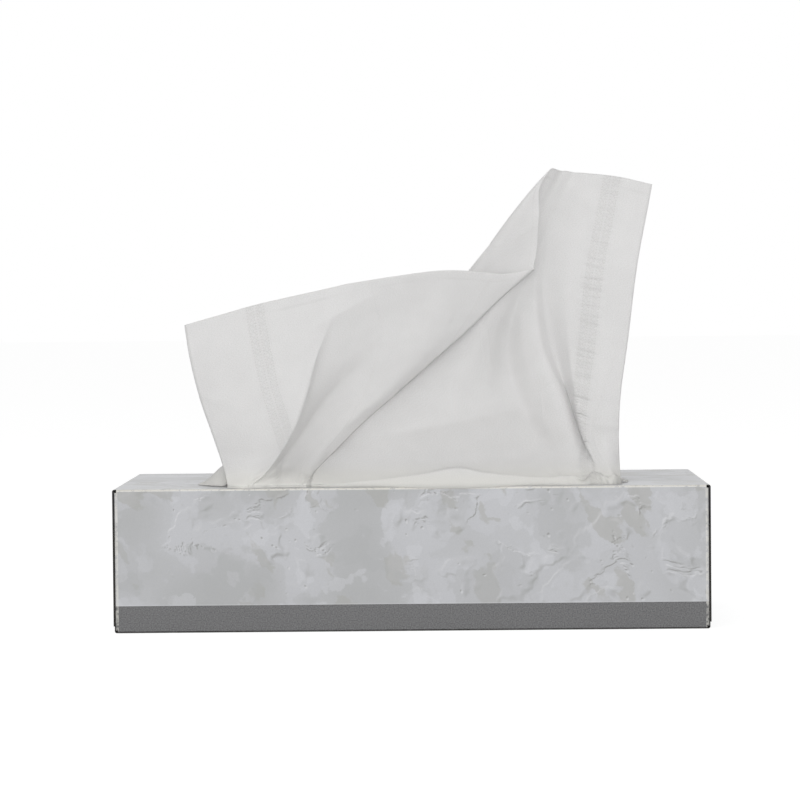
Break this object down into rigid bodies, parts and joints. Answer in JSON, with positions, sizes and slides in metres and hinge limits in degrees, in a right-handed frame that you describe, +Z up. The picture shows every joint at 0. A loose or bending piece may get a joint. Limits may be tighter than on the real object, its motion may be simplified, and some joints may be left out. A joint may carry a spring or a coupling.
{
  "type": "tissue box",
  "caption": "Flat carton of facial tissues with an oval opening and a slit film in the top panel, and a folded tissue raised through the slit.",
  "frame": {"origin": "middle of the underside of the bottom panel", "axes": "+X along the box, to the right of someone who faces the front panel; the front panel faces -Y; +Z up"},
  "size_m": [0.2308, 0.114, 0.1788],
  "materials": {
    "printed_board": "satin varnish over a grey plaster print",
    "clear_film": "thin clear film",
    "stacked_tissue": "soft matte",
    "loose_tissue": "soft matte, lets light through"
  },
  "bodies": {
    "root": {"carton": "printed_board", "window_film": "clear_film", "tissue_stack": "stacked_tissue", "raised_tissue": "loose_tissue", "next_tissue": "loose_tissue"}
  },
  "joints": []
}
